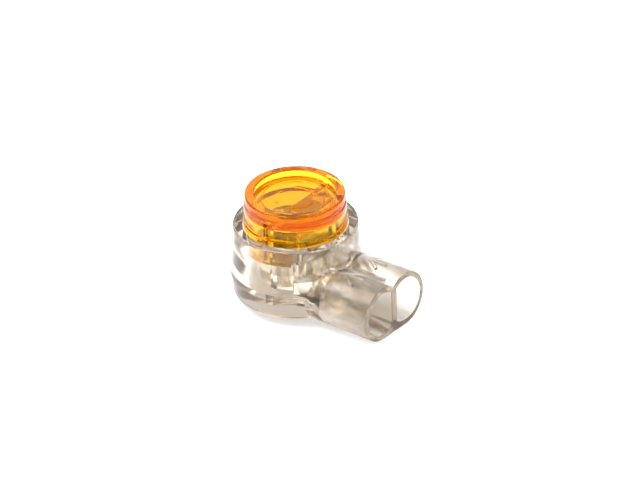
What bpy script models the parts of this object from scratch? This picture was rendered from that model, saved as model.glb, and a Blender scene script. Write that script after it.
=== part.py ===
"""A push-button splice connector for two telephone wires.

A clear housing carries a round collar and two wire ports side by side. An amber button stands in the
collar and holds a forked metal contact. Pressed until it is flush, the button drives the forks across
both wires, which lie in two troughs under it, in sealing gel.

The origin is on the flat base under the button's axis, +X points out of the ports and +Z is up.
Lengths are in millimetres, and object_from turns them into metres.
"""

from math import acos, atan2, cos, degrees, pi, radians, sin

import bmesh
import bpy
from mathutils import Matrix, Vector

MM = 0.001
MERGE = 0.00001
ROUND_STEPS = 64
PORT_STEPS = 36
PAST = 0.5

# Housing body, turned about the button's axis
COLLAR_R = 5.30
COLLAR_TOP = 7.17
SKIRT_R = 5.684
SKIRT_Z = 2.645
SKIRT_STEP = 0.07
BASE_R = 5.488
BASE_Z = 0.92
BOWL_R = 5.1
BOWL_Z = 0.64
BASE_FLAT_R = 3.9
EDGE = 0.12

# Space for the button, and the platform under it
BUTTON_BORE_R = 4.447
PLATFORM_R = 3.45
PLATFORM_TOP = 5.0
GROOVE_FLOOR = 3.95
SKIRT_GROOVE_FLOOR = 2.55
RIM_DIMPLE_R = 4.75
RIM_DIMPLE_ANGLES = (-27.5, -15.0, -3.0, 3.0, 15.0, 27.5)
RIM_DIMPLE_SIZE = 0.13
RIM_DIMPLE_DEPTH = 0.12

# Two wire ports, and the troughs that lead the wires under the button
PORT_Y = 1.525
PORT_Z = 2.443
PORT_OUTER_R = 2.443
PORT_BORE_R = 1.97
PORT_WEB = 0.70
PORT_MOUTH_X = 10.38
PORT_BORE_X = 5.3
NECK_R = 1.45
NECK_X = 4.3
CHANNEL_R = 1.10
TROUGH_END_X = -1.2
TROUGH_OPEN_X = 3.6
TROUGH_SLOT_STEP = 0.03
LAND_HALF_WIDTH = 1.0
LAND_TOP = 4.62
LAND_END_X = 9.3

# Button
BUTTON_TOP = 10.06
RING_R = 4.24
RING_INNER_R = 3.45
DISC_TOP = 9.42
LEDGE_Z = 9.11
DRUM_R = 4.33
BEAD_R = 4.40
BEAD_Z = 7.62
CEILING = 8.35
CUP_R = 3.55
WALL_BOTTOM = 6.90
SKIRT_BOTTOM = 5.45
FOOT_X = 2.40
GROOVE_SPARE_ANGLE = 1.5
PANEL_SPARE_ANGLE = 1.0
PANEL_R = 4.18
PANEL_Z = (7.70, 8.85)
SLOT_X = (0.05, 0.58)
SLOT_Y = (3.3, 3.88)
SLOT_TOP = 8.40
POCKET_INNER_Y = 3.5
POCKET_Z = (8.56, 9.05)
RELIEF_HEIGHT = 0.10
RELIEF_WIDTH = 0.18
RELIEF_R = 2.9
MARK_R = 1.75
MARK_COUNT = 3
MARK_SWEEP = 75.0

# Contact: two forked plates joined by a bridge
PLATE_T = 0.40
MIDDLE_PLATE_X = 0.32
PORT_PLATE_X = 2.20
CONTACT_TOP = 8.30
SHOULDER_Z = 5.50
MIDDLE_HALF_WIDTH = 3.80
BRIDGE_HALF_WIDTH = 1.3
FORK_TIP = 4.45
FORK_ROOT = 7.0
FORK_GAP = 0.50
FORK_LEG = 0.62
FORK_LEAD = 0.35
FORK_SLOT_SPARE = 0.10
FORK_SLOT_FLOOR = 1.50

# Sealing gel
GEL_R = 3.30
GEL_TOP = 6.20
GEL_GAP = 0.04
GEL_END_X = 4.2
GEL_OPEN_END_X = 3.2

CLEAR = (0.92, 0.90, 0.86, 1.0)
AMBER = (0.95, 0.48, 0.02, 1.0)
TIN = (0.78, 0.76, 0.72, 1.0)
GEL = (0.90, 0.87, 0.76, 1.0)


def new_collection(name):
    """An empty collection in the scene."""
    made = bpy.data.collections.new(name)
    bpy.context.scene.collection.children.link(made)
    return made


def material(name, colour, roughness, metallic=0.0, transmission=0.0):
    """A Principled material."""
    made = bpy.data.materials.new(name)
    made.use_nodes = True
    shader = made.node_tree.nodes["Principled BSDF"]
    shader.inputs["Base Color"].default_value = colour
    shader.inputs["Roughness"].default_value = roughness
    shader.inputs["Metallic"].default_value = metallic
    shader.inputs["Transmission Weight"].default_value = transmission
    return made


def object_from(bm, name, home):
    """Gives a bmesh in millimetres an object in metres."""
    bmesh.ops.transform(bm, matrix=Matrix.Scale(MM, 4), verts=bm.verts)
    mesh = bpy.data.meshes.new(name)
    bm.to_mesh(mesh)
    bm.free()
    made = bpy.data.objects.new(name, mesh)
    home.objects.link(made)
    return made


def box(name, low, high, home):
    """A box between two corners."""
    bm = bmesh.new()
    bmesh.ops.create_cube(bm, size=1.0)
    size = [top - bottom for bottom, top in zip(low, high)]
    middle = [(top + bottom) / 2 for bottom, top in zip(low, high)]
    bmesh.ops.scale(bm, vec=size, verts=bm.verts)
    bmesh.ops.translate(bm, vec=middle, verts=bm.verts)
    return object_from(bm, name, home)


def turned(name, outline, home, steps=ROUND_STEPS):
    """Turns an outline of (radius, height) points once about Z. It runs down its outer side."""
    bm = bmesh.new()
    verts = [bm.verts.new((radius, 0.0, height)) for radius, height in outline]
    for above, below in zip(verts, verts[1:]):
        bm.edges.new((above, below))
    if outline[0][0] > 0:
        bm.edges.new((verts[-1], verts[0]))
    made = object_from(bm, name, home)
    screw = made.modifiers.new("turn", "SCREW")
    screw.steps = steps
    screw.render_steps = steps
    screw.use_merge_vertices = True
    screw.merge_threshold = MERGE
    return made


def extruded(name, outline, low, high, axis, home):
    """Extrudes an outline from low to high along Z, with (x, y) points, or along X, with (y, z) points."""
    if axis == "Z":
        corners = [Vector((x, y, low)) for x, y in outline]
        along = Vector((0, 0, high - low))
    else:
        corners = [Vector((low, y, z)) for y, z in outline]
        along = Vector((high - low, 0, 0))
    bm = bmesh.new()
    face = bm.faces.new([bm.verts.new(corner) for corner in corners])
    moved = bmesh.ops.extrude_face_region(bm, geom=[face])["geom"]
    bmesh.ops.translate(bm, vec=along, verts=[v for v in moved if isinstance(v, bmesh.types.BMVert)])
    bmesh.ops.recalc_face_normals(bm, faces=bm.faces)
    return object_from(bm, name, home)


def arc(radius, start, end, centre=(0.0, 0.0), whole_turn=ROUND_STEPS):
    """Points on an arc between two angles in degrees."""
    steps = max(2, round(abs(end - start) / 360.0 * whole_turn))
    angles = [radians(start + (end - start) * step / steps) for step in range(steps + 1)]
    return [(centre[0] + radius * cos(a), centre[1] + radius * sin(a)) for a in angles]


def ring_sector(name, inner, outer, start, end, low, high, home):
    """Part of a flat ring between two angles in degrees."""
    outline = arc(outer, start, end) + arc(inner, end, start)
    return extruded(name, outline, low, high, "Z", home)


def round_along_x(name, past_end, radius, side, home):
    """A round-ended rod along one wire. past_end holds the (radius, x) points past its straight part."""
    blind_end = [(y, x) for x, y in arc(radius, 90, 180, (TROUGH_END_X, 0.0), PORT_STEPS)]
    blind_end[-1] = (0, TROUGH_END_X - radius)
    made = turned(name, past_end + blind_end, home, PORT_STEPS)
    made.rotation_euler = (0, pi / 2, 0)
    made.location = (0, side * PORT_Y * MM, PORT_Z * MM)
    return made


def open_above(name, radius, side, end_x, high, home):
    """The upright slot that opens a trough from above, with a round blind end."""
    y = side * PORT_Y
    half = radius - TROUGH_SLOT_STEP
    outline = [(end_x, y + half), *arc(half, 90, 270, (TROUGH_END_X, y), PORT_STEPS), (end_x, y - half)]
    return extruded(name, outline, PORT_Z, high, "Z", home)


def boolean(target, tool, operation):
    """Joins a tool to a target, or cuts it from it. The tool is only a guide."""
    tool.hide_render = True
    tool.display_type = "WIRE"
    step = target.modifiers.new(tool.name, "BOOLEAN")
    step.operation = operation
    step.solver = "EXACT"
    step.object = tool


def fork_y(side):
    """The near and far edges across Y of the fork over one wire, from the lower to the higher."""
    reach = FORK_GAP / 2 + FORK_LEG
    return side * PORT_Y - reach, side * PORT_Y + reach


def foot_angle():
    """The angle at which the button's feet and skirt end, towards the ports."""
    return degrees(acos(FOOT_X / BEAD_R))


def port_block_outline():
    """Two round tubes side by side over one flat underside."""
    valley = degrees(atan2((PORT_OUTER_R**2 - PORT_Y**2) ** 0.5, -PORT_Y))
    right = arc(PORT_OUTER_R, -90, valley, (PORT_Y, PORT_Z), PORT_STEPS)
    left = [(-y, z) for y, z in reversed(right[:-1])]
    return right + left


def port_bore_outline(side):
    """A round bore with its inner side cut flat by the web."""
    flat = degrees(acos((PORT_WEB / 2 - PORT_Y) / PORT_BORE_R))
    return [(side * y, z) for y, z in arc(PORT_BORE_R, -flat, flat, (PORT_Y, PORT_Z), PORT_STEPS)]


def plate_outline(half_width):
    """A contact plate with one open fork over each wire, as (y, z) points."""
    gap = FORK_GAP / 2
    near, far = fork_y(1)
    half = [
        (half_width, CONTACT_TOP),
        (half_width, SHOULDER_Z),
        (far, SHOULDER_Z),
        (far, FORK_TIP),
        (PORT_Y + gap + FORK_LEAD, FORK_TIP),
        (PORT_Y + gap, FORK_TIP + 2 * FORK_LEAD),
        (PORT_Y + gap, FORK_ROOT),
        (PORT_Y - gap, FORK_ROOT),
        (PORT_Y - gap, FORK_TIP + 2 * FORK_LEAD),
        (PORT_Y - gap - FORK_LEAD, FORK_TIP),
        (near, FORK_TIP),
        (near, SHOULDER_Z),
    ]
    if half_width == far:
        half = half[:1] + half[3:]
    return half + [(-y, z) for y, z in reversed(half)]


def make_housing(home, tools):
    """The clear one-piece housing: collar, base, platform, troughs and ports."""
    outline = [
        (0, COLLAR_TOP),
        (COLLAR_R - EDGE, COLLAR_TOP),
        (COLLAR_R, COLLAR_TOP - EDGE),
        (COLLAR_R + SKIRT_STEP, PLATFORM_TOP),
        (SKIRT_R, SKIRT_Z),
        (SKIRT_R - SKIRT_STEP, SKIRT_Z - SKIRT_STEP),
        (BASE_R, BASE_Z),
        (BOWL_R, BOWL_Z),
        (BASE_FLAT_R, 0),
        (0, 0),
    ]
    housing = turned("housing", outline, home)
    ports = extruded("port_block", port_block_outline(), 0.0, PORT_MOUTH_X, "X", tools)
    boolean(housing, ports, "UNION")
    land_low = (0.0, -LAND_HALF_WIDTH, PORT_Z)
    land = box("port_land", land_low, (LAND_END_X, LAND_HALF_WIDTH, LAND_TOP), tools)
    boolean(housing, land, "UNION")

    for cutter in housing_cutters(tools):
        boolean(housing, cutter, "DIFFERENCE")
    return housing


def housing_cutters(tools):
    """Everything that is hollow in the housing."""
    above = COLLAR_TOP + PAST
    bore = [(0, above), (BUTTON_BORE_R, above), (BUTTON_BORE_R, PLATFORM_TOP), (0, PLATFORM_TOP)]
    yield turned("button_bore", bore, tools)
    groove_top = PLATFORM_TOP + PAST
    groove = [
        (BUTTON_BORE_R, groove_top),
        (BUTTON_BORE_R, GROOVE_FLOOR),
        (PLATFORM_R, GROOVE_FLOOR),
        (PLATFORM_R, groove_top),
    ]
    yield turned("button_groove", groove, tools)
    end = foot_angle() - GROOVE_SPARE_ANGLE
    floor, top = SKIRT_GROOVE_FLOOR, GROOVE_FLOOR + PAST
    yield ring_sector("skirt_groove", PLATFORM_R, BUTTON_BORE_R, end, 360 - end, floor, top, tools)
    for side, word in ((-1, "right"), (1, "left")):
        past_end = PORT_BORE_X + PAST / 5
        neck = [(0, past_end), (NECK_R, past_end), (NECK_R, PORT_BORE_X), (CHANNEL_R, NECK_X)]
        yield round_along_x(f"{word}_trough", neck, CHANNEL_R, side, tools)
        top = PLATFORM_TOP + PAST
        yield open_above(f"{word}_trough_mouth", CHANNEL_R, side, TROUGH_OPEN_X, top, tools)
        yield extruded(
            f"{word}_port_bore", port_bore_outline(side), PORT_BORE_X, PORT_MOUTH_X + PAST, "X", tools
        )
    half = PLATE_T / 2 + FORK_SLOT_SPARE
    middle = (MIDDLE_PLATE_X, PLATFORM_R + FORK_SLOT_SPARE, "middle")
    port = (PORT_PLATE_X, fork_y(1)[1] + FORK_SLOT_SPARE, "port")
    for x, reach, word in (middle, port):
        low = (x - half, -reach, FORK_SLOT_FLOOR)
        yield box(f"{word}_plate_slot", low, (x + half, reach, PLATFORM_TOP + PAST), tools)
    for number, angle in enumerate(RIM_DIMPLE_ANGLES, 1):
        yield dimple(f"rim_dimple_{number}", angle, tools)


def dimple(name, angle, tools):
    """A small round dimple in the collar's rim."""
    bm = bmesh.new()
    bmesh.ops.create_cone(
        bm,
        cap_ends=True,
        segments=10,
        radius1=RIM_DIMPLE_SIZE / 2,
        radius2=RIM_DIMPLE_SIZE,
        depth=2 * RIM_DIMPLE_DEPTH,
    )
    place = (RIM_DIMPLE_R * cos(radians(angle)), RIM_DIMPLE_R * sin(radians(angle)), COLLAR_TOP)
    bmesh.ops.translate(bm, vec=place, verts=bm.verts)
    return object_from(bm, name, tools)


def make_button(home, tools):
    """The amber button: a raised ring round a sunk disc, a drum, a half skirt and two feet."""
    outline = [
        (0, DISC_TOP),
        (RING_INNER_R, DISC_TOP),
        (RING_INNER_R, BUTTON_TOP - EDGE),
        (RING_INNER_R + EDGE, BUTTON_TOP),
        (RING_R - EDGE, BUTTON_TOP),
        (RING_R, BUTTON_TOP - EDGE),
        (RING_R, LEDGE_Z),
        (DRUM_R - EDGE / 4, LEDGE_Z),
        (DRUM_R, LEDGE_Z - EDGE / 4),
        (DRUM_R, BEAD_Z),
        (BEAD_R, BEAD_Z - EDGE),
        (BEAD_R, WALL_BOTTOM),
        (CUP_R, WALL_BOTTOM),
        (CUP_R, CEILING),
        (0, CEILING),
    ]
    button = turned("button", outline, home)
    end = foot_angle()
    skirt = ring_sector(
        "button_skirt", CUP_R, BEAD_R, end, 360 - end, SKIRT_BOTTOM, WALL_BOTTOM + PAST / 2, tools
    )
    boolean(button, skirt, "UNION")
    panel_end = degrees(acos(SLOT_X[0] / BEAD_R))
    for side, word in ((-1, "right"), (1, "left")):
        panel = ring_sector(
            f"{word}_foot_panel",
            PANEL_R,
            BEAD_R + PAST,
            *sorted((side * (end - PANEL_SPARE_ANGLE), side * panel_end)),
            *PANEL_Z,
            tools,
        )
        boolean(button, panel, "DIFFERENCE")
        for name, reach, low, high in (
            ("slot", SLOT_Y, SKIRT_BOTTOM - PAST, SLOT_TOP),
            ("pocket", (POCKET_INNER_Y, BEAD_R + PAST), *POCKET_Z),
        ):
            near, far = sorted(side * y for y in reach)
            cut = box(f"{word}_{name}", (SLOT_X[0], near, low), (SLOT_X[1], far, high), tools)
            boolean(button, cut, "DIFFERENCE")
    for relief in button_reliefs(tools):
        boolean(button, relief, "UNION")
    return button


def button_reliefs(tools):
    """Raised marks in the sunk disc: one thin ring, and curved bars on a smaller circle inside it."""
    low = DISC_TOP - PAST / 2
    high = DISC_TOP + RELIEF_HEIGHT
    ring = [
        (RELIEF_R, high),
        (RELIEF_R, low),
        (RELIEF_R - RELIEF_WIDTH, low),
        (RELIEF_R - RELIEF_WIDTH, high),
    ]
    yield turned("relief_ring", ring, tools)
    for number in range(MARK_COUNT):
        middle = 90 + number * 360 / MARK_COUNT
        start, end = middle - MARK_SWEEP / 2, middle + MARK_SWEEP / 2
        yield ring_sector(
            f"relief_bar_{number + 1}", MARK_R - RELIEF_WIDTH, MARK_R, start, end, low, high, tools
        )


def make_contact(home, tools):
    """The tin-plated contact: a wide and a narrow forked plate, joined across the top."""
    half = PLATE_T / 2
    x = MIDDLE_PLATE_X
    contact = extruded("contact", plate_outline(MIDDLE_HALF_WIDTH), x - half, x + half, "X", home)
    x = PORT_PLATE_X
    port_plate = extruded("port_plate", plate_outline(fork_y(1)[1]), x - half, x + half, "X", tools)
    boolean(contact, port_plate, "UNION")
    bridge_low = (MIDDLE_PLATE_X, -BRIDGE_HALF_WIDTH, CONTACT_TOP - PLATE_T)
    bridge = box("bridge", bridge_low, (PORT_PLATE_X, BRIDGE_HALF_WIDTH, CONTACT_TOP), tools)
    boolean(contact, bridge, "UNION")
    return contact


def make_gel(home, tools):
    """The sealing gel: a pool on the platform that runs down into both troughs, slit for the forks."""
    bottom = PLATFORM_TOP + GEL_GAP
    gel = turned("sealing_gel", [(0, GEL_TOP), (GEL_R, GEL_TOP), (GEL_R, bottom), (0, bottom)], home)
    radius = CHANNEL_R - GEL_GAP
    for side, word in ((-1, "right"), (1, "left")):
        wide_end = [(0, GEL_END_X), (radius, GEL_END_X)]
        above = open_above(f"{word}_gel_neck", radius, side, GEL_OPEN_END_X, bottom + PAST / 2, tools)
        boolean(gel, above, "UNION")
        boolean(gel, round_along_x(f"{word}_gel", wide_end, radius, side, tools), "UNION")
    half = PLATE_T / 2 + GEL_GAP
    for x, word in ((MIDDLE_PLATE_X, "middle"), (PORT_PLATE_X, "port")):
        low = (x - half, -GEL_R - PAST, SHOULDER_Z - GEL_GAP)
        slot = box(f"{word}_gel_slot", low, (x + half, GEL_R + PAST, GEL_TOP + PAST), tools)
        boolean(gel, slot, "DIFFERENCE")
        for side in (-1, 1):
            near, far = fork_y(side)
            slit = box(
                f"{word}_gel_slit_{side}",
                (x - half, near - GEL_GAP, FORK_SLOT_FLOOR),
                (x + half, far + GEL_GAP, SHOULDER_Z + PAST),
                tools,
            )
            boolean(gel, slit, "DIFFERENCE")
    return gel


def finish(made, look):
    """Gives a sub-part its material and smooth round faces."""
    made.data.materials.append(look)
    made.data.shade_smooth()
    made.data.set_sharp_from_angle(angle=radians(30))


def main():
    for old in list(bpy.data.objects):
        bpy.data.objects.remove(old, do_unlink=True)
    home = new_collection("splice_connector")
    tools = new_collection("cutters")
    tools.hide_render = True
    finish(make_housing(home, tools), material("clear_plastic", CLEAR, 0.08, transmission=0.9))
    finish(make_button(home, tools), material("amber_plastic", AMBER, 0.10, transmission=0.6))
    finish(make_contact(home, tools), material("tin_plate", TIN, 0.30, metallic=1.0))
    finish(make_gel(home, tools), material("gel", GEL, 0.25, transmission=0.6))


main()
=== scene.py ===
"""Looks of a push-button splice connector: clear housing, amber button, tin-plated contact and sealing gel.

Outlines are in millimetres in the model's own frame: the origin is on the base under the button's axis,
+X points out of the wire ports and +Z is up. to_metres turns finished pieces into metres.
"""

from math import acos, atan2, cos, degrees, pi, radians, sin, tan

import bmesh
import bpy
from mathutils import Matrix, Vector


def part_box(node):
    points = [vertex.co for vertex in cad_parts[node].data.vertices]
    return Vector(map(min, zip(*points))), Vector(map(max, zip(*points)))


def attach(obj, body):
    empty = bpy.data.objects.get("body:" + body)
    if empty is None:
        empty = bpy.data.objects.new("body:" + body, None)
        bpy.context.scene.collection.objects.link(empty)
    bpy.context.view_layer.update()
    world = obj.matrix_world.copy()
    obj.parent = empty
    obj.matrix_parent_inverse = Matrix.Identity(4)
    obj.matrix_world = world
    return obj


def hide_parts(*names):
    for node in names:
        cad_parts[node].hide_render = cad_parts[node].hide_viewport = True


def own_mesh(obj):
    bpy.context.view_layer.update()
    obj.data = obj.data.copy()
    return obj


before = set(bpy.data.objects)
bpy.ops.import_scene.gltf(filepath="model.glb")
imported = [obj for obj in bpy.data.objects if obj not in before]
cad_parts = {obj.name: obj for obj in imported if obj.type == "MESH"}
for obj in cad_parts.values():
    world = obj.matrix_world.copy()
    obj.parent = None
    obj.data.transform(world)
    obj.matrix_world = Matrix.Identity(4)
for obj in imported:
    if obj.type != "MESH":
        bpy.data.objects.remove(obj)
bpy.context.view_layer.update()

MM = 0.001
WELD = 0.0005
PAST = 0.5
ROUND_STEPS = 256
PORT_STEPS = 128


def edges_of(node):
    """A CAD node's lowest and highest corner in millimetres."""
    low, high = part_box(node)
    return low / MM, high / MM


HOUSING_HIGH = edges_of("housing")[1]
BUTTON_LOW, BUTTON_HIGH = edges_of("button")
CONTACT_LOW, CONTACT_HIGH = edges_of("contact")
GEL_HIGH = edges_of("sealing_gel")[1]

# Housing body, turned about the button's axis
COLLAR_TOP = HOUSING_HIGH.z
SKIRT_R = HOUSING_HIGH.y
COLLAR_R = 5.30
SKIRT_Z = 2.645
SKIRT_STEP = 0.07
BASE_R, BASE_Z = 5.488, 0.92
BOWL_R, BOWL_Z = 5.1, 0.64
BASE_FLAT_R = 3.9

# Space for the button, and the platform under it
BUTTON_BORE_R = 4.447
PLATFORM_R = 3.45
PLATFORM_TOP = 5.0
GROOVE_FLOOR = 3.95
SKIRT_GROOVE_FLOOR = 2.55
GROOVE_SPARE_ANGLE = 1.5
MOUTH_FLARE = 0.10
RIM_DIMPLE_R = 4.75
RIM_DIMPLE_ANGLES = (-27.5, -15.0, -3.0, 3.0, 15.0, 27.5)
RIM_DIMPLE_SIZE = 0.13
RIM_DIMPLE_SEGMENTS, RIM_DIMPLE_RINGS = 20, 12

# Two wire ports, and the troughs that lead the wires under the button
PORT_MOUTH_X = HOUSING_HIGH.x
PORT_Y = 1.525
PORT_Z = 2.443
PORT_OUTER_R = 2.443
PORT_BORE_R = 1.97
PORT_WEB = 0.70
PORT_BORE_X = 5.3
NECK_R, NECK_X = 1.45, 4.3
CHANNEL_R = 1.10
TROUGH_END_X = -1.2
TROUGH_OPEN_X = 3.6
TROUGH_SLOT_STEP = 0.03
LAND_HALF_WIDTH = 1.0
LAND_TOP = 4.62
LAND_END_X = 9.3
ARROW_X = (6.6, 7.8)
ARROW_Y = 1.6
ARROW_HALF_WIDTH = 0.75
OUTER_EDGE = 0.12
INNER_EDGE = 0.06
MOUTH_EDGE_STEPS = 5
STROKE = 0.22
STROKE_RISE = 0.22

# Button
BUTTON_TOP = BUTTON_HIGH.z
SKIRT_BOTTOM = BUTTON_LOW.z
BEAD_R = BUTTON_HIGH.y
RING_R = 4.24
RING_INNER_R = 3.45
DISC_TOP = 9.42
LEDGE_Z = 9.11
DRUM_R = 4.33
BEAD_Z = 7.62
CEILING = 8.35
CUP_R = 3.55
WALL_BOTTOM = 6.90
FOOT_X = 2.40
PANEL_R = 4.18
PANEL_Z = (7.70, 8.85)
PANEL_SPARE_ANGLE = 1.0
SLOT_X = (0.05, 0.58)
SLOT_Y = (3.3, 3.88)
SLOT_TOP = 8.40
POCKET_INNER_Y = 3.5
POCKET_Z = (8.56, 9.05)
RELIEF_R = 2.9
RELIEF_WIDTH = 0.18
RELIEF_HEIGHT = 0.10
RELIEF_SEAM = 0.01
MARK_R = 1.75
MARK_COUNT = 3
MARK_SWEEP = 75.0

# Contact
CONTACT_TOP = CONTACT_HIGH.z
FORK_TIP = CONTACT_LOW.z
MIDDLE_HALF_WIDTH = CONTACT_HIGH.y
PLATE_T = 0.40
MIDDLE_PLATE_X = CONTACT_LOW.x + PLATE_T / 2
PORT_PLATE_X = CONTACT_HIGH.x - PLATE_T / 2
SHOULDER_Z = 5.50
BRIDGE_HALF_WIDTH = 1.3
FORK_ROOT = 7.0
FORK_GAP = 0.50
FORK_LEG = 0.62
FORK_LEAD = 0.35
FORK_SLOT_SPARE = 0.10
FORK_SLOT_FLOOR = 1.50
CONTACT_EDGE = 0.03

# Sealing gel
GEL_R = GEL_HIGH.y
GEL_TOP = GEL_HIGH.z
GEL_GAP = 0.04
GEL_END_X = GEL_HIGH.x
GEL_OPEN_END_X = 2.2


# ---------------------------------------------------------------- shapes


def mesh_object(bm, name):
    """Gives a bmesh an object in the scene."""
    bmesh.ops.recalc_face_normals(bm, faces=bm.faces)
    mesh = bpy.data.meshes.new(name)
    bm.to_mesh(mesh)
    bm.free()
    made = bpy.data.objects.new(name, mesh)
    bpy.context.scene.collection.objects.link(made)
    return made


def arc(radius, start, end, centre=(0.0, 0.0), whole_turn=ROUND_STEPS):
    """Points on an arc between two angles in degrees."""
    steps = max(2, round(abs(end - start) / 360.0 * whole_turn))
    angles = [radians(start + (end - start) * step / steps) for step in range(steps + 1)]
    return [(centre[0] + radius * cos(a), centre[1] + radius * sin(a)) for a in angles]


def rounded(corners, steps=5):
    """An open outline whose (x, y, rounding) corners are turned into arcs."""
    points = [Vector(corner[:2]) for corner in corners]
    made = [points[0]]
    for before, here, after, corner in zip(points, points[1:], points[2:], corners[1:]):
        back, ahead = (before - here).normalized(), (after - here).normalized()
        half = acos(max(-1.0, min(1.0, back.dot(ahead)))) / 2
        if corner[2] <= 0 or half > radians(89.5):
            made.append(here)
            continue
        reach = corner[2] / tan(half)
        centre = here + (back + ahead).normalized() * corner[2] / sin(half)
        start, end = here + back * reach - centre, here + ahead * reach - centre
        sweep = atan2(start.x * end.y - start.y * end.x, start.dot(end))
        for step in range(steps + 1):
            made.append(centre + Matrix.Rotation(sweep * step / steps, 2) @ start)
    return [tuple(point) for point in [*made, points[-1]]]


def turned(name, outline, steps=ROUND_STEPS):
    """Turns an outline of (radius, height) points once about Z."""
    bm = bmesh.new()
    verts = [bm.verts.new((radius, 0.0, height)) for radius, height in outline]
    edges = [bm.edges.new(pair) for pair in zip(verts, verts[1:])]
    if outline[0][0] > 0:
        edges.append(bm.edges.new((verts[-1], verts[0])))
    bmesh.ops.spin(
        bm, geom=verts + edges, axis=(0, 0, 1), cent=(0, 0, 0), angle=2 * pi, steps=steps, use_merge=True
    )
    bmesh.ops.remove_doubles(bm, verts=bm.verts, dist=WELD)
    return mesh_object(bm, name)


def extruded(name, outline, low, high, axis="Z"):
    """Extrudes (x, y) points along Z, or (y, z) points along X."""
    place = (lambda a, b: (a, b, low)) if axis == "Z" else (lambda a, b: (low, a, b))
    along = (0, 0, high - low) if axis == "Z" else (high - low, 0, 0)
    bm = bmesh.new()
    face = bm.faces.new([bm.verts.new(place(*point)) for point in outline])
    moved = bmesh.ops.extrude_face_region(bm, geom=[face])["geom"]
    bmesh.ops.translate(bm, vec=along, verts=[v for v in moved if isinstance(v, bmesh.types.BMVert)])
    return mesh_object(bm, name)


def lofted(name, sections):
    """Joins (x, outline) sections along X, each a closed (y, z) outline with the same number of points."""
    bm = bmesh.new()
    loops = [[bm.verts.new((x, *point)) for point in outline] for x, outline in sections]
    for near, far in zip(loops, loops[1:]):
        for a, b, c, d in zip(near, near[1:] + near[:1], far[1:] + far[:1], far):
            bm.faces.new((a, b, c, d))
    for loop in (loops[0], loops[-1]):
        bm.faces.new(loop)
    return mesh_object(bm, name)


def box(name, low, high):
    """A box between two corners."""
    outline = [(low[0], low[1]), (high[0], low[1]), (high[0], high[1]), (low[0], high[1])]
    return extruded(name, outline, low[2], high[2])


def ring_sector(name, inner, outer, start, end, low, high):
    """Part of a flat ring between two angles in degrees."""
    return extruded(name, arc(outer, start, end) + arc(inner, end, start), low, high)


def round_along_x(name, past_end, radius, side):
    """A round-ended rod along one wire. past_end holds the (radius, x) points past its straight part."""
    blind_end = [(y, x) for x, y in arc(radius, 90, 180, (TROUGH_END_X, 0.0), PORT_STEPS)]
    blind_end[-1] = (0, TROUGH_END_X - radius)
    made = turned(name, past_end + blind_end, PORT_STEPS)
    made.data.transform(Matrix.Translation((0, side * PORT_Y, PORT_Z)) @ Matrix.Rotation(pi / 2, 4, "Y"))
    return made


def open_above(name, radius, side, end_x, high):
    """The upright slot that opens a trough from above, with a round blind end."""
    y = side * PORT_Y
    half = radius - TROUGH_SLOT_STEP
    outline = [(end_x, y + half), *arc(half, 90, 270, (TROUGH_END_X, y), PORT_STEPS), (end_x, y - half)]
    return extruded(name, outline, PORT_Z, high)


def combined(base, steps):
    """Joins tools to a base or cuts them from it, in order, and leaves one plain mesh."""
    tools = []
    for operation, tool in steps:
        step = base.modifiers.new(tool.name, "BOOLEAN")
        step.operation = operation
        step.solver = "EXACT"
        step.object = tool
        tools.append(tool)
    view = bpy.context.evaluated_depsgraph_get()
    mesh = bpy.data.meshes.new_from_object(base.evaluated_get(view))
    base.modifiers.clear()
    base.data = mesh
    for tool in tools:
        bpy.data.objects.remove(tool, do_unlink=True)
    return base


def to_metres(piece, body, material, replaces=(), soft_edge=35.0):
    """Scales a finished piece, shades it and lets it ride on its body."""
    piece.data.transform(Matrix.Scale(MM, 4))
    piece.data.shade_smooth()
    piece.data.set_sharp_from_angle(angle=radians(soft_edge))
    piece.data.materials.clear()
    piece.data.materials.append(material)
    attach(piece, body)
    if replaces:
        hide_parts(*replaces)
    return piece


# ---------------------------------------------------------------- outlines shared by several tools


def foot_angle():
    """The angle in degrees at which the half skirt ends and the feet begin."""
    return degrees(acos(FOOT_X / BEAD_R))


def fork_y(side):
    """The near and far edges across Y of the fork over one wire, from the lower to the higher."""
    reach = FORK_GAP / 2 + FORK_LEG
    return side * PORT_Y - reach, side * PORT_Y + reach


def port_block_outline(more=0.0):
    """Two round tubes side by side over one flat underside, in the same number of points at any size."""
    radius = PORT_OUTER_R + more
    valley = degrees(atan2((radius**2 - PORT_Y**2) ** 0.5, -PORT_Y))
    right = arc(radius, -90, valley, (PORT_Y, PORT_Z), whole_turn=PORT_STEPS * 360 / (valley + 90))
    return right + [(-y, z) for y, z in reversed(right[:-1])]


def stroke(name, start, end, low, high):
    """An upright wall along a line between two (x, y) points."""
    start, end = Vector(start), Vector(end)
    along = (end - start).normalized() * STROKE / 2
    aside = along.orthogonal()
    start, end = start - along, end + along
    corners = [start - aside, end - aside, end + aside, start + aside]
    return extruded(name, [tuple(corner) for corner in corners], low, high)


def port_arrows():
    """Raised arrows on top of the ports, which show the way the wires go in."""
    tip, tail = ARROW_X
    lines = []
    for side in (-1, 1):
        middle = side * ARROW_Y
        for edge in (middle - ARROW_HALF_WIDTH, middle + ARROW_HALF_WIDTH):
            lines.append(((tip, middle), (tail, edge)))
        lines.append(((tip + 2 * STROKE, middle), (tail + 2 * STROKE, middle)))
    walls = [stroke("arrow", *line, PORT_Z + PORT_BORE_R / 2, LAND_TOP + PAST) for line in lines]
    block = extruded("block", port_block_outline(STROKE_RISE), SKIRT_R, PORT_MOUTH_X, "X")
    return combined(walls[0], [*(("UNION", wall) for wall in walls[1:]), ("INTERSECT", block)])


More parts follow.
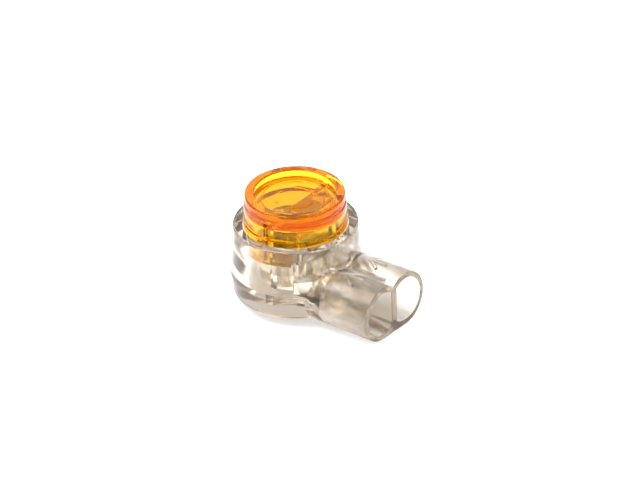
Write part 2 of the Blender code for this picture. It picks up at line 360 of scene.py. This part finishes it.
def port_bore_outline(side, more=0.0):
    """A round bore with its inner side cut flat by the web, in the same number of points at any size."""
    radius = PORT_BORE_R + more
    flat = degrees(acos((PORT_WEB / 2 - more - PORT_Y) / radius))
    points = arc(radius, -flat, flat, (PORT_Y, PORT_Z), whole_turn=PORT_STEPS * 180 / flat)
    return [(side * y, z) for y, z in points]


def mouth_edge(rounding, outward):
    """How far from the mouth, and how much wider or narrower, each section of a rounded mouth edge is."""
    for step in range(MOUTH_EDGE_STEPS + 1):
        angle = pi / 2 * step / MOUTH_EDGE_STEPS
        yield -rounding * (1 - sin(angle)), outward * rounding * (1 - cos(angle))


def plate_outline(half_width):
    """A contact plate with one open fork over each wire, as (y, z) points."""
    gap = FORK_GAP / 2
    near, far = fork_y(1)
    half = [
        (half_width, CONTACT_TOP),
        (half_width, SHOULDER_Z),
        (far, SHOULDER_Z),
        (far, FORK_TIP),
        (PORT_Y + gap + FORK_LEAD, FORK_TIP),
        (PORT_Y + gap, FORK_TIP + 2 * FORK_LEAD),
        (PORT_Y + gap, FORK_ROOT),
        (PORT_Y - gap, FORK_ROOT),
        (PORT_Y - gap, FORK_TIP + 2 * FORK_LEAD),
        (PORT_Y - gap - FORK_LEAD, FORK_TIP),
        (near, FORK_TIP),
        (near, SHOULDER_Z),
    ]
    if half_width == far:
        half = half[:1] + half[3:]
    return half + [(-y, z) for y, z in reversed(half)]


# ---------------------------------------------------------------- housing


def housing_steps():
    """What is joined to the turned housing body, and then everything that is hollow in it."""
    edge = [(PORT_MOUTH_X + x, port_block_outline(more)) for x, more in mouth_edge(OUTER_EDGE, -1)]
    yield "UNION", lofted("ports", [(0.0, port_block_outline()), *edge])
    yield "UNION", box("land", (0.0, -LAND_HALF_WIDTH, PORT_Z), (LAND_END_X, LAND_HALF_WIDTH, LAND_TOP))
    yield "UNION", port_arrows()
    above = COLLAR_TOP + PAST
    bore = rounded([
        (0, above, 0),
        (BUTTON_BORE_R + MOUTH_FLARE + PAST, above, 0),
        (BUTTON_BORE_R, COLLAR_TOP - MOUTH_FLARE, 0.15),
        (BUTTON_BORE_R, PLATFORM_TOP, 0),
        (0, PLATFORM_TOP, 0),
    ])
    yield "DIFFERENCE", turned("button_bore", bore)
    groove_top = PLATFORM_TOP + PAST
    groove = [
        (BUTTON_BORE_R, groove_top),
        (BUTTON_BORE_R, GROOVE_FLOOR),
        (PLATFORM_R, GROOVE_FLOOR),
        (PLATFORM_R, groove_top),
    ]
    yield "DIFFERENCE", turned("button_groove", groove)
    end = foot_angle() - GROOVE_SPARE_ANGLE
    floor, top = SKIRT_GROOVE_FLOOR, GROOVE_FLOOR + PAST
    yield "DIFFERENCE", ring_sector("skirt_groove", PLATFORM_R, BUTTON_BORE_R, end, 360 - end, floor, top)
    for side in (-1, 1):
        past_end = PORT_BORE_X + PAST / 5
        neck = [(0, past_end), (NECK_R, past_end), (NECK_R, PORT_BORE_X), (CHANNEL_R, NECK_X)]
        yield "DIFFERENCE", round_along_x(f"trough{side}", neck, CHANNEL_R, side)
        yield "DIFFERENCE", open_above(f"mouth{side}", CHANNEL_R, side, TROUGH_OPEN_X, PLATFORM_TOP + PAST)
        edge = [(PORT_MOUTH_X + x, port_bore_outline(side, more)) for x, more in mouth_edge(INNER_EDGE, 1)]
        past_end = (PORT_MOUTH_X + PAST, port_bore_outline(side, INNER_EDGE))
        yield "DIFFERENCE", lofted(f"bore{side}", [(PORT_BORE_X, port_bore_outline(side)), *edge, past_end])
    half = PLATE_T / 2 + FORK_SLOT_SPARE
    far = fork_y(1)[1] + FORK_SLOT_SPARE
    for x, reach in ((MIDDLE_PLATE_X, PLATFORM_R + FORK_SLOT_SPARE), (PORT_PLATE_X, far)):
        low = (x - half, -reach, FORK_SLOT_FLOOR)
        yield "DIFFERENCE", box("plate_slot", low, (x + half, reach, PLATFORM_TOP + PAST))
    for angle in RIM_DIMPLE_ANGLES:
        yield "DIFFERENCE", dimple(angle)


def dimple(angle):
    """A small round dimple in the collar's rim."""
    bm = bmesh.new()
    segments, rings = RIM_DIMPLE_SEGMENTS, RIM_DIMPLE_RINGS
    bmesh.ops.create_uvsphere(bm, u_segments=segments, v_segments=rings, radius=RIM_DIMPLE_SIZE)
    place = (RIM_DIMPLE_R * cos(radians(angle)), RIM_DIMPLE_R * sin(radians(angle)), COLLAR_TOP)
    bmesh.ops.translate(bm, vec=place, verts=bm.verts)
    return mesh_object(bm, "dimple")


def make_housing():
    """The clear one-piece housing: collar, base, platform, troughs and ports."""
    outline = rounded([
        (0, COLLAR_TOP, 0),
        (COLLAR_R, COLLAR_TOP, 0.16),
        (COLLAR_R + SKIRT_STEP, PLATFORM_TOP, 4.0),
        (SKIRT_R, SKIRT_Z, 0.03),
        (SKIRT_R - SKIRT_STEP, SKIRT_Z - SKIRT_STEP, 0.03),
        (BASE_R, BASE_Z, 0.6),
        (BOWL_R, BOWL_Z, 0.5),
        (BASE_FLAT_R, 0, 0.8),
        (0, 0, 0),
    ])
    return combined(turned("housing_shell", outline), housing_steps())


# ---------------------------------------------------------------- button


def button_steps():
    """The button's half skirt and feet, the slots for the contact, and the raised marks on its disc."""
    end = foot_angle()
    skirt_top = WALL_BOTTOM + PAST / 2
    yield "UNION", ring_sector("skirt", CUP_R, BEAD_R, end, 360 - end, SKIRT_BOTTOM, skirt_top)
    panel_end = degrees(acos(SLOT_X[0] / BEAD_R))
    for side in (-1, 1):
        angles = sorted((side * (end - PANEL_SPARE_ANGLE), side * panel_end))
        yield "DIFFERENCE", ring_sector("panel", PANEL_R, BEAD_R + PAST, *angles, *PANEL_Z)
        slot = (SLOT_Y, SKIRT_BOTTOM - PAST, SLOT_TOP)
        pocket = ((POCKET_INNER_Y, BEAD_R + PAST), *POCKET_Z)
        for reach, bottom, top in (slot, pocket):
            near, far = sorted(side * y for y in reach)
            yield "DIFFERENCE", box("slot", (SLOT_X[0], near, bottom), (SLOT_X[1], far, top))
    low, high = DISC_TOP - PAST / 2, DISC_TOP + RELIEF_HEIGHT
    ring = rounded([
        (RELIEF_R - RELIEF_WIDTH / 2, high, 0),
        (RELIEF_R, high, 0.05),
        (RELIEF_R, low, 0),
        (RELIEF_R - RELIEF_WIDTH, low, 0),
        (RELIEF_R - RELIEF_WIDTH, high, 0.05),
        (RELIEF_R - RELIEF_WIDTH / 2 - RELIEF_SEAM, high, 0),
    ])
    yield "UNION", turned("relief_ring", ring)
    for number in range(MARK_COUNT):
        middle = 90 + number * 360 / MARK_COUNT
        sweep = (middle - MARK_SWEEP / 2, middle + MARK_SWEEP / 2)
        yield "UNION", ring_sector("relief_bar", MARK_R - RELIEF_WIDTH, MARK_R, *sweep, low, high)


def make_button():
    """The amber button: a raised ring round a sunk disc, over a hollow drum."""
    outline = rounded([
        (0, DISC_TOP, 0),
        (RING_INNER_R, DISC_TOP, 0.12),
        (RING_INNER_R, BUTTON_TOP, 0.16),
        (RING_R, BUTTON_TOP, 0.16),
        (RING_R, LEDGE_Z, 0.03),
        (DRUM_R, LEDGE_Z, 0.03),
        (DRUM_R, BEAD_Z, 0.03),
        (BEAD_R, BEAD_Z - 0.1, 0.05),
        (BEAD_R, WALL_BOTTOM, 0.05),
        (CUP_R, WALL_BOTTOM, 0.05),
        (CUP_R, CEILING, 0.2),
        (0, CEILING, 0),
    ])
    return combined(turned("button_cap", outline), button_steps())


# ---------------------------------------------------------------- contact and gel


def make_contact():
    """The stamped contact: a wide and a narrow forked plate, joined across the top."""
    half = PLATE_T / 2
    x = MIDDLE_PLATE_X
    contact = extruded("forked_contact", plate_outline(MIDDLE_HALF_WIDTH), x - half, x + half, "X")
    x = PORT_PLATE_X
    port_plate = extruded("port_plate", plate_outline(fork_y(1)[1]), x - half, x + half, "X")
    low = (MIDDLE_PLATE_X, -BRIDGE_HALF_WIDTH, CONTACT_TOP - PLATE_T)
    bridge = box("bridge", low, (PORT_PLATE_X, BRIDGE_HALF_WIDTH, CONTACT_TOP))
    contact = combined(contact, [("UNION", port_plate), ("UNION", bridge)])
    edges = contact.modifiers.new("stamped_edges", "BEVEL")
    edges.width = CONTACT_EDGE
    edges.segments = 2
    edges.limit_method = "ANGLE"
    return combined(contact, [])


def plate_slots():
    """Slots that let both contact plates pass through the gel."""
    half = PLATE_T / 2 + GEL_GAP
    for x in (MIDDLE_PLATE_X, PORT_PLATE_X):
        low = (x - half, -GEL_R - PAST, FORK_SLOT_FLOOR)
        yield "DIFFERENCE", box("slot", low, (x + half, GEL_R + PAST, GEL_TOP + PAST))


def make_gel_pool():
    """The gel that lies on the platform under the button."""
    bottom = PLATFORM_TOP + GEL_GAP
    outline = rounded([(0, GEL_TOP, 0), (GEL_R, GEL_TOP, 0.3), (GEL_R, bottom, 0.05), (0, bottom, 0)])
    return combined(turned("gel_pool", outline), plate_slots())


def make_gel_trough(side, word):
    """The gel that fills one trough."""
    radius = CHANNEL_R - GEL_GAP
    wide_end = [(0, GEL_END_X), (radius, GEL_END_X)]
    body = round_along_x(f"gel_{word}", wide_end, radius, side)
    above = open_above("above", radius, side, GEL_OPEN_END_X, PLATFORM_TOP)
    return combined(body, [("UNION", above), *plate_slots()])


# ---------------------------------------------------------------- materials

PATTERN_LOW, PATTERN_HIGH = 0.45, 0.9
PORT_DULLNESS = 0.35
PLASTIC_IOR = 1.585
GEL_IOR = 1.46


def shaded(name, colour, ior=1.5, transmission=0.0, metallic=0.0, absorbs=None, density=0.0):
    """A material with a Principled shader, and for clear stuff an even absorption inside it."""
    made = bpy.data.materials.new(name)
    made.use_nodes = True
    tree = made.node_tree
    shader = tree.nodes["Principled BSDF"]
    shader.inputs["Base Color"].default_value = (*colour, 1.0)
    shader.inputs["IOR"].default_value = ior
    shader.inputs["Transmission Weight"].default_value = transmission
    shader.inputs["Metallic"].default_value = metallic
    if absorbs:
        volume = tree.nodes.new("ShaderNodeVolumeAbsorption")
        volume.inputs["Color"].default_value = (*absorbs, 1.0)
        volume.inputs["Density"].default_value = density
        tree.links.new(volume.outputs["Volume"], tree.nodes["Material Output"].inputs["Volume"])
    return made


def pattern(tree, kind, scale, detail=2.0, stretch=(1.0, 1.0, 1.0)):
    """A noise or wave pattern fixed to the piece, with its features about 1/scale millimetres wide."""
    place = tree.nodes.new("ShaderNodeTexCoord")
    mapping = tree.nodes.new("ShaderNodeMapping")
    mapping.inputs["Scale"].default_value = [part / MM for part in stretch]
    tree.links.new(place.outputs["Object"], mapping.inputs["Vector"])
    made = tree.nodes.new(kind)
    made.inputs["Scale"].default_value = scale
    if "Detail" in made.inputs:
        made.inputs["Detail"].default_value = detail
    tree.links.new(mapping.outputs["Vector"], made.inputs["Vector"])
    return made


def vary_roughness(material, source, low, high):
    """Drives a material's roughness between two values by a pattern."""
    tree = material.node_tree
    spread = tree.nodes.new("ShaderNodeMapRange")
    spread.inputs["From Min"].default_value = PATTERN_LOW
    spread.inputs["From Max"].default_value = PATTERN_HIGH
    spread.inputs["To Min"].default_value = low
    spread.inputs["To Max"].default_value = high
    tree.links.new(source, spread.inputs["Value"])
    tree.links.new(spread.outputs["Result"], tree.nodes["Principled BSDF"].inputs["Roughness"])


def bumps(material, *layers):
    """Stacks (pattern output, strength, height in millimetres) layers as bump."""
    tree = material.node_tree
    below = None
    for source, strength, height in layers:
        bump = tree.nodes.new("ShaderNodeBump")
        bump.inputs["Strength"].default_value = strength
        bump.inputs["Distance"].default_value = height * MM
        tree.links.new(source, bump.inputs["Height"])
        if below is not None:
            tree.links.new(below, bump.inputs["Normal"])
        below = bump.outputs["Normal"]
    tree.links.new(below, tree.nodes["Principled BSDF"].inputs["Normal"])


def clear_plastic():
    """Clear moulded polycarbonate with faint flow waves, polished in the collar and duller in the ports."""
    tint, inside = (0.90, 0.865, 0.81), (0.70, 0.62, 0.51)
    made = shaded("clear_plastic", tint, PLASTIC_IOR, 1.0, absorbs=inside, density=115.0)
    tree = made.node_tree
    tree.nodes["Principled BSDF"].inputs["Specular Tint"].default_value = (0.5, 0.48, 0.45, 1.0)
    haze = pattern(tree, "ShaderNodeTexNoise", 0.9, 4.0)
    place = tree.nodes.new("ShaderNodeTexCoord")
    split = tree.nodes.new("ShaderNodeSeparateXYZ")
    along = tree.nodes.new("ShaderNodeMapRange")
    along.inputs["From Min"].default_value = NECK_X * MM
    along.inputs["From Max"].default_value = SKIRT_R * MM
    along.inputs["To Max"].default_value = PORT_DULLNESS
    total = tree.nodes.new("ShaderNodeMath")
    tree.links.new(place.outputs["Object"], split.inputs["Vector"])
    tree.links.new(split.outputs["X"], along.inputs["Value"])
    tree.links.new(along.outputs["Result"], total.inputs[0])
    tree.links.new(haze.outputs[0], total.inputs[1])
    vary_roughness(made, total.outputs[0], 0.02, 0.22)
    waves = pattern(tree, "ShaderNodeTexNoise", 0.3, 0.0, (1.0, 1.0, 0.5))
    bumps(made, (waves.outputs[0], 0.3, 0.05))
    return made


def amber_plastic():
    """See-through amber polycarbonate: yellow where it is thin, orange to red where it is thick."""
    tint, inside = (1.0, 0.77, 0.12), (0.99, 0.885, 0.20)
    made = shaded("amber_plastic", tint, PLASTIC_IOR, 1.0, absorbs=inside, density=2000.0)
    tree = made.node_tree
    tree.nodes["Principled BSDF"].inputs["Specular Tint"].default_value = (1.0, 0.62, 0.15, 1.0)
    haze = pattern(tree, "ShaderNodeTexNoise", 1.1, 4.0)
    vary_roughness(made, haze.outputs[0], 0.015, 0.07)
    waves = pattern(tree, "ShaderNodeTexNoise", 0.3, 0.0)
    bumps(made, (waves.outputs[0], 0.3, 0.04))
    return made


def tin_plate():
    """Tin-plated stamped metal with fine rolling lines."""
    made = shaded("tin_plate", (0.66, 0.62, 0.56), metallic=1.0)
    tree = made.node_tree
    lines = pattern(tree, "ShaderNodeTexNoise", 3.0, 3.0, (1.0, 0.15, 3.0))
    vary_roughness(made, lines.outputs[0], 0.22, 0.42)
    bumps(made, (lines.outputs[0], 0.4, 0.02))
    return made


def gel_material():
    """Soft translucent gel with a slightly uneven skin."""
    made = shaded("gel", (0.98, 0.96, 0.91), GEL_IOR, 0.88, absorbs=(0.92, 0.86, 0.66), density=120.0)
    tree = made.node_tree
    lumps = pattern(tree, "ShaderNodeTexNoise", 0.8, 3.0)
    vary_roughness(made, lumps.outputs[0], 0.05, 0.25)
    bumps(made, (lumps.outputs[0], 0.7, 0.15))
    return made


# ---------------------------------------------------------------- studio

VIEW_AZIMUTH = 39.315
VIEW_ELEVATION = 31.371
VIEW_ROLL = -1.874
VIEW_DISTANCE = 1.0547
LENS = 725.0
SENSOR = 36.0
AIM = Vector((3.18, 0.0, 5.692))
AIM_RIGHT = -1.124
AIM_UP = -0.226
FLOOR_SIZE = 2.0
FLOOR_DROP = 0.00002
FLOOR_COLOUR = (0.93, 0.93, 0.93, 1.0)
FLOOR_GLOW = 0.42
BRIGHT_SIDE = (-0.80, 0.33, 0.50)
DIM, BRIGHT = 0.25, 0.95
DIM_END, BRIGHT_END = -0.4, 0.6
# Each softbox: azimuth, elevation, distance and size in metres, radiance
KEY_LIGHT = (-60, 62, 0.35, 0.25, 7.0)
FILL_LIGHT = (140, 60, 0.40, 0.25, 2.5)


def make_camera():
    """A long lens at the viewing angle."""
    across, up = radians(VIEW_AZIMUTH), radians(VIEW_ELEVATION)
    back = Vector((sin(across) * cos(up), -cos(across) * cos(up), sin(up)))
    level = Vector((cos(across), sin(across), 0.0))
    upright = back.cross(level)
    roll = radians(VIEW_ROLL)
    right = level * cos(roll) + upright * sin(roll)
    above = upright * cos(roll) - level * sin(roll)
    data = bpy.data.cameras.new("camera")
    data.lens, data.sensor_width = LENS, SENSOR
    data.clip_start, data.clip_end = 0.01, 10.0
    camera = bpy.data.objects.new("camera", data)
    bpy.context.scene.collection.objects.link(camera)
    middle = (AIM + right * AIM_RIGHT + above * AIM_UP) * MM
    turn = Matrix((right, above, back)).transposed().to_4x4()
    camera.matrix_world = Matrix.Translation(middle + back * VIEW_DISTANCE) @ turn
    bpy.context.scene.camera = camera


def make_floor():
    """A plain pale floor, lit a little from below like a light table."""
    bm = bmesh.new()
    bmesh.ops.create_grid(bm, x_segments=1, y_segments=1, size=FLOOR_SIZE / 2)
    bmesh.ops.translate(bm, vec=(0, 0, -FLOOR_DROP), verts=bm.verts)
    floor = mesh_object(bm, "floor")
    made = bpy.data.materials.new("floor")
    made.use_nodes = True
    shader = made.node_tree.nodes["Principled BSDF"]
    shader.inputs["Base Color"].default_value = FLOOR_COLOUR
    shader.inputs["Roughness"].default_value = 0.9
    shader.inputs["Specular IOR Level"].default_value = 0.1
    shader.inputs["Emission Color"].default_value = (1.0, 1.0, 1.0, 1.0)
    shader.inputs["Emission Strength"].default_value = FLOOR_GLOW
    floor.data.materials.append(made)


def softbox(name, azimuth, elevation, distance, size, radiance):
    """A square area light that looks at the model. radiance sets how bright its face is."""
    across, up = radians(azimuth), radians(elevation)
    back = Vector((sin(across) * cos(up), -cos(across) * cos(up), sin(up)))
    data = bpy.data.lights.new(name, "AREA")
    data.size = size
    data.energy = radiance * pi * size * size
    lamp = bpy.data.objects.new(name, data)
    bpy.context.scene.collection.objects.link(lamp)
    turn = back.to_track_quat("Z", "Y").to_matrix().to_4x4()
    lamp.matrix_world = Matrix.Translation(back * distance) @ turn


def make_world():
    """A studio that is bright behind and to the left of the model. The camera itself sees plain white."""
    world = bpy.data.worlds.new("studio")
    bpy.context.scene.world = world
    world.use_nodes = True
    tree = world.node_tree
    place = tree.nodes.new("ShaderNodeTexCoord")
    along = tree.nodes.new("ShaderNodeVectorMath")
    along.operation = "DOT_PRODUCT"
    along.inputs[1].default_value = BRIGHT_SIDE
    ramp = tree.nodes.new("ShaderNodeMapRange")
    ramp.interpolation_type = "SMOOTHSTEP"
    ramp.inputs["From Min"].default_value = DIM_END
    ramp.inputs["From Max"].default_value = BRIGHT_END
    ramp.inputs["To Min"].default_value = DIM
    ramp.inputs["To Max"].default_value = BRIGHT
    tree.links.new(place.outputs["Generated"], along.inputs[0])
    tree.links.new(along.outputs["Value"], ramp.inputs["Value"])
    path = tree.nodes.new("ShaderNodeLightPath")
    seen = tree.nodes.new("ShaderNodeMix")
    seen.data_type = "RGBA"
    seen.inputs["B"].default_value = (1.0, 1.0, 1.0, 1.0)
    tree.links.new(path.outputs["Is Camera Ray"], seen.inputs["Factor"])
    tree.links.new(ramp.outputs["Result"], seen.inputs["A"])
    tree.links.new(seen.outputs["Result"], tree.nodes["Background"].inputs["Color"])


def make_studio():
    """Camera, floor, lights and how the picture is read."""
    make_camera()
    make_floor()
    make_world()
    softbox("key", *KEY_LIGHT)
    softbox("fill", *FILL_LIGHT)
    scene = bpy.context.scene
    scene.view_settings.view_transform = "Standard"
    scene.cycles.max_bounces = 32
    scene.cycles.transmission_bounces = 28
    scene.cycles.glossy_bounces = 12
    scene.cycles.transparent_max_bounces = 16


# ---------------------------------------------------------------- the model


def make_model():
    """Every visible piece, on its body and standing for its CAD node."""
    clear = clear_plastic()
    amber = amber_plastic()
    tin = tin_plate()
    gel = gel_material()
    to_metres(make_housing(), "housing_body", clear, ["housing"])
    to_metres(make_button(), "button_body", amber, ["button"])
    to_metres(make_contact(), "button_body", tin, ["contact"])
    pool = to_metres(make_gel_pool(), "housing_body", gel, ["sealing_gel"])
    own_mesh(pool)
    for side, word in ((-1, "right"), (1, "left")):
        to_metres(make_gel_trough(side, word), "housing_body", gel, ["sealing_gel"])


make_model()
make_studio()
